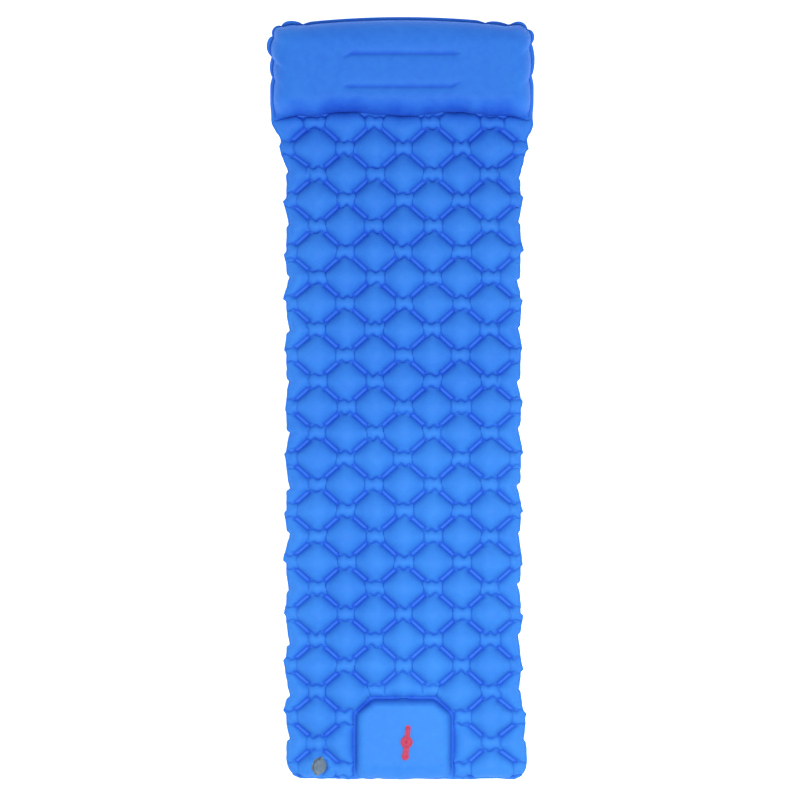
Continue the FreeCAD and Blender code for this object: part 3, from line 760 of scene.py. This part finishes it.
def foam_radius(angle):
    """The foam block's outline about the intake: the cover's, set in, with rounded corners."""
    low, high = PUMP_COVER
    sharpness = 18
    sides = [(0, high.x - FOAM_INSET - INTAKE.x), (np.pi, INTAKE.x - low.x - FOAM_INSET)]
    sides += [(np.pi / 2, high.y - FOAM_INSET - INTAKE.y), (-np.pi / 2, INTAKE.y - low.y - FOAM_INSET)]
    corner = math.hypot(high.x - INTAKE.x, high.y - INTAKE.y) - FOAM_CORNER
    sides += [(0.75, corner), (np.pi - 0.68, corner)]
    inverse = 0
    for facing, distance in sides:
        inverse += (np.clip(np.cos(angle - facing), 1e-3, 1) / distance) ** sharpness
    return inverse ** (-1 / sharpness)


def make_foam():
    """The pump's foam block, with a well for the intake."""
    low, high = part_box("pump_foam")
    angle = np.linspace(0, 2 * np.pi, 161)[:-1]
    outline = foam_radius(angle)
    well = np.full_like(angle, WELL_RADIUS)
    rings = [(outline * share, low.z) for share in (0.02, 0.3, 0.6, 0.9)]
    for share in np.linspace(0, 1, 13):
        bulge = 0.0012 * math.sin(math.pi * share) - 0.003 * (2 * share - 1) ** 8
        rings.append((outline + bulge, low.z + (high.z - low.z) * share))
    rings += [(well + (outline - well) * share, high.z) for share in (0.9, 0.6, 0.3, 0.06)]
    rings += [(well, high.z - 0.001), (well, WELL_FLOOR + 0.012), (well, WELL_FLOOR + 0.001)]
    rings += [(well * share, WELL_FLOOR) for share in (0.9, 0.5, 0.02)]
    points = [[INTAKE.x + r * np.cos(angle), INTAKE.y + r * np.sin(angle), r * 0 + z] for r, z in rings]
    vertices = np.array(points).transpose(0, 2, 1).reshape(-1, 3)
    vertices += np.random.default_rng(3).uniform(-0.00025, 0.00025, vertices.shape)
    count = len(angle)
    first = np.arange(count)
    next_one = np.roll(first, -1)
    faces = []
    for below in range(0, (len(rings) - 1) * count, count):
        above = below + count
        band = np.stack([below + first, below + next_one, above + next_one, above + first], 1)
        faces += band.tolist()
    faces.append(first[::-1].tolist())
    faces.append(((len(rings) - 1) * count + first).tolist())
    return new_piece("pump_foam_block", vertices.tolist(), faces)


def part_frame(origin, across, out):
    """A moulded part's own axes: X along across, Z along out."""
    z = Vector(out).normalized()
    x = Vector(across).normalized()
    axes = Matrix((x, z.cross(x), z)).transposed().to_4x4()
    return Matrix.Translation(origin) @ axes


def rod(place, start, end, radius):
    """A round-ended bar between two points of a part's own axes, to be melted into a moulding."""
    bpy.ops.mesh.primitive_uv_sphere_add(segments=12, ring_count=8, radius=radius)
    bar = bpy.context.object
    start, end = Vector(start), Vector(end)
    half = (end - start) / 2
    turn = half.to_track_quat("Z", "Y").to_matrix()
    for vertex in bar.data.vertices:
        shift = half if vertex.co.z > 0 else -half
        vertex.co = turn @ vertex.co + (shift if abs(vertex.co.z) > 1e-7 else Vector())
    bar.data.transform(place @ Matrix.Translation((start + end) / 2))
    return bar


def moulded(name, node, additions=(), voxel=0.0004):
    """A CAD node's shape with soft moulded edges, and small additions melted into it."""
    piece = add_object(name, frame["nodes"][node].data.copy())
    if additions:
        bpy.ops.object.select_all(action="DESELECT")
        for extra in (piece, *additions):
            extra.select_set(True)
        bpy.context.view_layer.objects.active = piece
        bpy.ops.object.join()
    remesh = piece.modifiers.new("melt", "REMESH")
    remesh.mode = "VOXEL"
    remesh.voxel_size = voxel
    soften = piece.modifiers.new("soften", "SMOOTH")
    soften.factor = 0.5
    soften.iterations = 4
    bpy.context.view_layer.update()
    ready = piece.evaluated_get(bpy.context.evaluated_depsgraph_get())
    melted = bpy.data.meshes.new_from_object(ready)
    piece.modifiers.clear()
    piece.data = melted
    melted.shade_smooth()
    return piece


def make_plug():
    """The plug, with three grip ribs on its tab, one along its strap and a boss in the middle."""
    place = part_frame(Vector((INTAKE.x, INTAKE.y, PUMP_TOP)), PLUG_ACROSS, (0, 0, 1))
    ribs = []
    for y in (-0.0335, -0.0370, -0.0405):
        ribs.append(rod(place, (-0.0055, y, PLUG_TOP), (0.0055, y, PLUG_TOP), 0.0007))
    ribs.append(rod(place, (0, 0.019, PLUG_TOP), (0, 0.030, PLUG_TOP), 0.0008))
    boss = rod(place, (0, 0, 0.0042), (0, 0, 0.0049), 0.0028)
    return moulded("red_plug", "intake_plug", [*ribs, boss])


def make_port():
    """The duct under the pump's weld. Its inner end is pushed in, so less of it meets the pressed cover."""
    port = moulded("outlet_port_moulding", "outlet_port", voxel=0.0006)
    for vertex in port.data.vertices:
        inside = min(vertex.co.y - PUMP_HEAD, 0)
        vertex.co.y -= inside * (1 - PORT_INSIDE / (PUMP_HEAD - PORT[0].y))
    return port


def on_circle(radius, number, count, z):
    """Point number of count, all round a circle about a part's own Z axis."""
    turn = 2 * math.pi * number / count
    return radius * math.cos(turn), radius * math.sin(turn), z


def make_cap():
    """The cap, with grip ribs round it, except at its tab and its hinge, and a raised ring on top."""
    place = part_frame(VALVE, VALVE_ACROSS, VALVE_OUT)
    extras = []
    for number in np.arange(CAP_RIBS) + 0.5:
        turn = 2 * math.pi * number / CAP_RIBS
        if abs(turn - 1.5 * math.pi) > CAP_BARE and min(turn, 2 * math.pi - turn) > CAP_BARE:
            low, high = (on_circle(CAP_RADIUS, number, CAP_RIBS, z) for z in CAP_RIB_Z)
            extras.append(rod(place, low, high, 0.0006))
    for number in range(RING_PARTS):
        start, end = (on_circle(RING_RADIUS, number + step, RING_PARTS, RING_Z) for step in (0, 1))
        extras.append(rod(place, start, end, 0.0006))
    return moulded("cap_shell", "valve_cap", extras)


# ---- materials


class Finish:
    """A node material in the making. Most methods add a node and return its output."""

    def __init__(self, name, roughness, **sockets):
        self.material = bpy.data.materials.new(name)
        self.material.use_nodes = True
        self.tree = self.material.node_tree
        self.shader = self.tree.nodes["Principled BSDF"]
        self.shader.inputs["Roughness"].default_value = roughness
        for socket, value in sockets.items():
            self.shader.inputs[socket.replace("_", " ")].default_value = value
        self.where = self.add("ShaderNodeTexCoord").outputs["Object"]

    def add(self, kind, **inputs):
        node = self.tree.nodes.new(kind)
        for key, value in inputs.items():
            self.set(node.inputs[key.replace("_", " ")], value)
        return node

    def set(self, socket, value):
        if isinstance(value, bpy.types.NodeSocket):
            self.tree.links.new(value, socket)
        else:
            socket.default_value = value

    def noise(self, scale, detail=2.0, distortion=0.0):
        return self.add(
            "ShaderNodeTexNoise", Vector=self.where, Scale=scale, Detail=detail, Distortion=distortion
        ).outputs["Fac"]

    def bands(self, period, direction):
        """Soft stripes period metres apart across the X, Y or DIAGONAL direction."""
        node = self.add("ShaderNodeTexWave", Vector=self.where, Scale=math.pi / (10 * period))
        node.bands_direction = direction
        return node.outputs["Fac"]

    def attribute(self, name):
        node = self.tree.nodes.new("ShaderNodeAttribute")
        node.attribute_name = name
        return node.outputs["Fac"]

    def math(self, operation, first, second):
        node = self.tree.nodes.new("ShaderNodeMath")
        node.operation = operation
        self.set(node.inputs[0], first)
        self.set(node.inputs[1], second)
        return node.outputs[0]

    def spread(self, value, low, high, source=(0.0, 1.0)):
        """value, moved from the source range to low to high."""
        node = self.add("ShaderNodeMapRange", Value=value, From_Min=source[0], From_Max=source[1])
        self.set(node.inputs["To Min"], low)
        self.set(node.inputs["To Max"], high)
        return node.outputs["Result"]

    def mix(self, share, first, second):
        node = self.tree.nodes.new("ShaderNodeMix")
        node.data_type = "RGBA"
        self.set(node.inputs["Factor"], share)
        self.set(node.inputs["A"], first)
        self.set(node.inputs["B"], second)
        return node.outputs["Result"]

    def bump(self, height, distance, strength=1.0, under=None):
        """Adds to the surface's relief. under is the bump that this one lies on."""
        node = self.add("ShaderNodeBump", Height=height, Distance=distance, Strength=strength)
        if under is not None:
            self.tree.links.new(under, node.inputs["Normal"])
        return node.outputs["Normal"]

    def finish(self, colour, roughness, normal):
        self.set(self.shader.inputs["Base Color"], colour)
        self.set(self.shader.inputs["Roughness"], roughness)
        self.tree.links.new(normal, self.shader.inputs["Normal"])
        return self.material


def coated_nylon(name, deep, bright):
    """Woven nylon with a coating: a fine plain weave, a little crinkle, an embossed grain where it is welded,
    painted shade in the creases, welds darker partly by their own colour and partly by painted shade, and painted
    light that makes it lighter towards the foot end."""
    finish = Finish(name, 0.55, Sheen_Weight=0.01, Sheen_Roughness=0.4, Specular_IOR_Level=0.08)
    weld = finish.attribute("weld")
    painted_crease_shade = finish.attribute("crease")
    drift = finish.noise(2.6, 3.0)
    cloud = finish.noise(46.0, 5.0, 0.4)
    crinkle = finish.noise(150.0, 4.0, 0.8)
    weave = finish.math("ADD", finish.bands(0.00055, "X"), finish.bands(0.00055, "Y"))
    grain = finish.math("MULTIPLY", finish.bands(0.0016, "X"), finish.bands(0.0016, "Y"))
    along = finish.add("ShaderNodeSeparateXYZ", Vector=finish.where).outputs["Y"]
    # painted light: lighter towards the foot end, darker towards the head
    tone = finish.spread(along, 0.9, 0.6, (FOOT_Y, HEAD_Y))
    tone = finish.math("ADD", tone, finish.spread(drift, -0.2, 0.2))
    tone = finish.math("ADD", tone, finish.spread(cloud, -0.06, 0.06, (0.3, 0.7)))
    tone = finish.math("ADD", tone, finish.spread(weave, -0.04, 0.04, (0.0, 2.0)))
    # painted shade in the creases
    tone = finish.math("SUBTRACT", tone, finish.math("MULTIPLY", painted_crease_shade, 0.52))
    # the welds are darker, partly by their own colour and partly by painted shade in the recessed bars and the
    # pillow's rim, more so towards the foot end
    weld_colour_and_shade = finish.spread(along, 0.20, 0.05, (FOOT_Y, HEAD_Y))
    tone = finish.math("SUBTRACT", tone, finish.math("MULTIPLY", weld, weld_colour_and_shade))
    colour = finish.mix(tone, deep, bright)
    roughness = finish.spread(cloud, 0.48, 0.60)
    roughness = finish.math("SUBTRACT", roughness, finish.math("MULTIPLY", weld, 0.06))
    normal = finish.bump(cloud, 0.0010, 0.25)
    normal = finish.bump(crinkle, 0.00035, 0.30, normal)
    normal = finish.bump(finish.math("MULTIPLY", grain, weld), 0.00012, 0.5, normal)
    normal = finish.bump(weave, 0.00003, 0.5, normal)
    return finish.finish(colour, roughness, normal)


def soft_rubber(name, deep, bright, roughness=0.60, softness=0.15):
    """A soft translucent moulding with a faint skin of fine grain and smears of dust."""
    finish = Finish(
        name, roughness, Subsurface_Weight=softness, Subsurface_Scale=0.002, Specular_IOR_Level=0.25
    )
    cloud = finish.noise(120.0, 4.0, 0.3)
    grain = finish.noise(3800.0, 2.0)
    colour = finish.mix(finish.spread(cloud, 0.0, 1.0, (0.3, 0.7)), deep, bright)
    normal = finish.bump(cloud, 0.0002, 0.25)
    normal = finish.bump(grain, 0.00003, 0.35, normal)
    return finish.finish(colour, finish.spread(cloud, roughness - 0.05, roughness + 0.12), normal)


def moulded_plastic(name, deep, bright, roughness=0.42):
    """Spark-eroded moulded plastic: a fine even grain and slightly polished high spots."""
    finish = Finish(name, roughness, Specular_IOR_Level=0.5)
    drift = finish.noise(80.0, 3.0)
    grain = finish.add("ShaderNodeTexVoronoi", Vector=finish.where, Scale=2600.0).outputs["Distance"]
    colour = finish.mix(finish.spread(drift, 0.0, 1.0, (0.3, 0.7)), deep, bright)
    normal = finish.bump(grain, 0.00004, 0.5)
    normal = finish.bump(drift, 0.0001, 0.2, normal)
    return finish.finish(colour, finish.spread(drift, roughness - 0.06, roughness + 0.08), normal)


def open_foam(name):
    """Open-cell foam."""
    finish = Finish(name, 0.95, Sheen_Weight=0.3, Specular_IOR_Level=0.1)
    cells = finish.add("ShaderNodeTexVoronoi", Vector=finish.where, Scale=700.0).outputs["Distance"]
    drift = finish.noise(60.0, 3.0)
    colour = finish.mix(finish.math("MULTIPLY", cells, drift), (0.62, 0.60, 0.52, 1), (0.30, 0.29, 0.24, 1))
    normal = finish.bump(cells, 0.0006, 0.9)
    return finish.finish(colour, finish.spread(drift, 0.9, 1.0), normal)


def studio_paper():
    """White paper that also glows, so that it stays white in the mattress's shadow."""
    glow = {"Emission_Color": (1, 1, 1, 1), "Emission_Strength": 0.9}
    finish = Finish("studio_paper", 0.9, Specular_IOR_Level=0.1, **glow)
    fibre = finish.noise(900.0, 3.0)
    colour = finish.mix(fibre, (0.93, 0.93, 0.93, 1), (0.96, 0.96, 0.96, 1))
    return finish.finish(colour, 0.9, finish.bump(fibre, 0.00005, 0.3))


# ---- scene


def make_stage():
    """A white floor, just under the mattress."""
    bpy.ops.mesh.primitive_plane_add(size=30, location=(0, 0, -0.0005))
    floor = bpy.context.object
    floor.name = "floor"
    floor.data.materials.append(studio_paper())


def make_lights():
    """One soft light above the foot end, and an even white world."""
    data = bpy.data.lights.new("key", "AREA")
    data.size = 1.4
    data.energy = 145
    light = add_object("key", data)
    light.location = (0.4, -0.9, 4.2)
    light.rotation_euler = (Vector((0, -0.2, 0)) - light.location).to_track_quat("-Z", "Y").to_euler()
    world = bpy.data.worlds.new("studio")
    world.use_nodes = True
    background = world.node_tree.nodes["Background"]
    background.inputs["Color"].default_value = (1, 1, 1, 1)
    background.inputs["Strength"].default_value = 0.60
    bpy.context.scene.world = world


def make_camera():
    """Straight above, a long lens, with the mattress filling the picture's height."""
    data = bpy.data.cameras.new("camera")
    data.lens = LENS
    data.sensor_width = SENSOR
    camera = add_object("camera", data)
    camera.location = (-0.009, -0.005, VIEW_WIDTH * LENS / SENSOR)
    bpy.context.scene.camera = camera


def dress(piece, material, slot, *nodes):
    """Gives a piece its material, and hides the CAD nodes that it stands for. slot is not used."""
    piece.data.materials.clear()
    piece.data.materials.append(material)
    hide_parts(*nodes)


def dress_nodes(material, *names):
    """Gives CAD nodes that are shown as they are their material."""
    for name in names:
        node = frame["nodes"][name]
        node.data.materials.clear()
        node.data.materials.append(material)


def main():
    make_camera()
    make_lights()
    make_stage()
    # the nylon's deep colour is the one that its painted shade in the creases darkens it towards
    nylon = coated_nylon("coated_nylon", (0.0095, 0.058, 0.54, 1), (0.042, 0.238, 0.735, 1))
    red = soft_rubber("red_elastomer", (0.41, 0.033, 0.080, 1), (0.53, 0.056, 0.130, 1))
    grey = moulded_plastic("grey_moulding", (0.090, 0.140, 0.195, 1), (0.145, 0.205, 0.270, 1))
    blue = moulded_plastic("blue_moulding", (0.012, 0.12, 0.55, 1), (0.022, 0.19, 0.72, 1))
    silicone = soft_rubber("flap_silicone", (0.60, 0.62, 0.64, 1), (0.78, 0.80, 0.81, 1), 0.30, 0.4)
    foam_look = open_foam("pump_foam_cells")

    skin, (pad_top, neck_top, pad_bottom, neck_bottom) = make_pad()
    dress(skin, nylon, "coated_fabric", "pump_skirt", "pump_cover")
    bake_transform(skin)
    for piece in (pad_top, pad_bottom):
        dress(piece, nylon, "coated_fabric", f"{piece.name}_sheet")
        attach(piece, "pad")
    for piece in (neck_top, neck_bottom):
        dress(piece, nylon, "coated_fabric")
        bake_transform(piece)

    pillow_top, pillow_bottom, baffles = make_pillow()
    dress(pillow_top, nylon, "coated_fabric", "pillow_top_sheet")
    dress(pillow_bottom, nylon, "coated_fabric", "pillow_bottom_sheet")
    for baffle, node in zip(baffles, ("pillow_baffle_front", "pillow_baffle_rear")):
        dress(baffle, nylon, "coated_fabric", node)
    for piece in (pillow_top, pillow_bottom, *baffles):
        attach(piece, "pillow")

    foam = make_foam()
    dress(foam, foam_look, "foam", "pump_foam")
    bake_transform(foam)

    plug = make_plug()
    dress(plug, red, "red_plug", "intake_plug")
    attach(plug, "intake_plug")
    cap = make_cap()
    dress(cap, grey, "grey_moulding", "valve_cap")
    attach(cap, "valve_cap")
    for node, body, material, slot in (
        ("plug_anchor", "pump_top", red, "red_plug"),
        ("intake_base", "pump_top", blue, "blue_moulding"),
        ("valve_base", "pad", grey, "grey_moulding"),
        ("valve_leash", "pad", grey, "grey_moulding"),
    ):
        piece = moulded(f"{node}_moulding", node)
        dress(piece, material, slot, node)
        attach(piece, body)
    port = make_port()
    dress(port, blue, "blue_moulding", "outlet_port")
    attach(port, "pad")
    dress_nodes(grey, "valve_spider")
    dress_nodes(silicone, "intake_flap", "outlet_flap", "valve_flap", "valve_cap_seal")


bpy.context.scene.view_settings.view_transform = "Standard"
main()
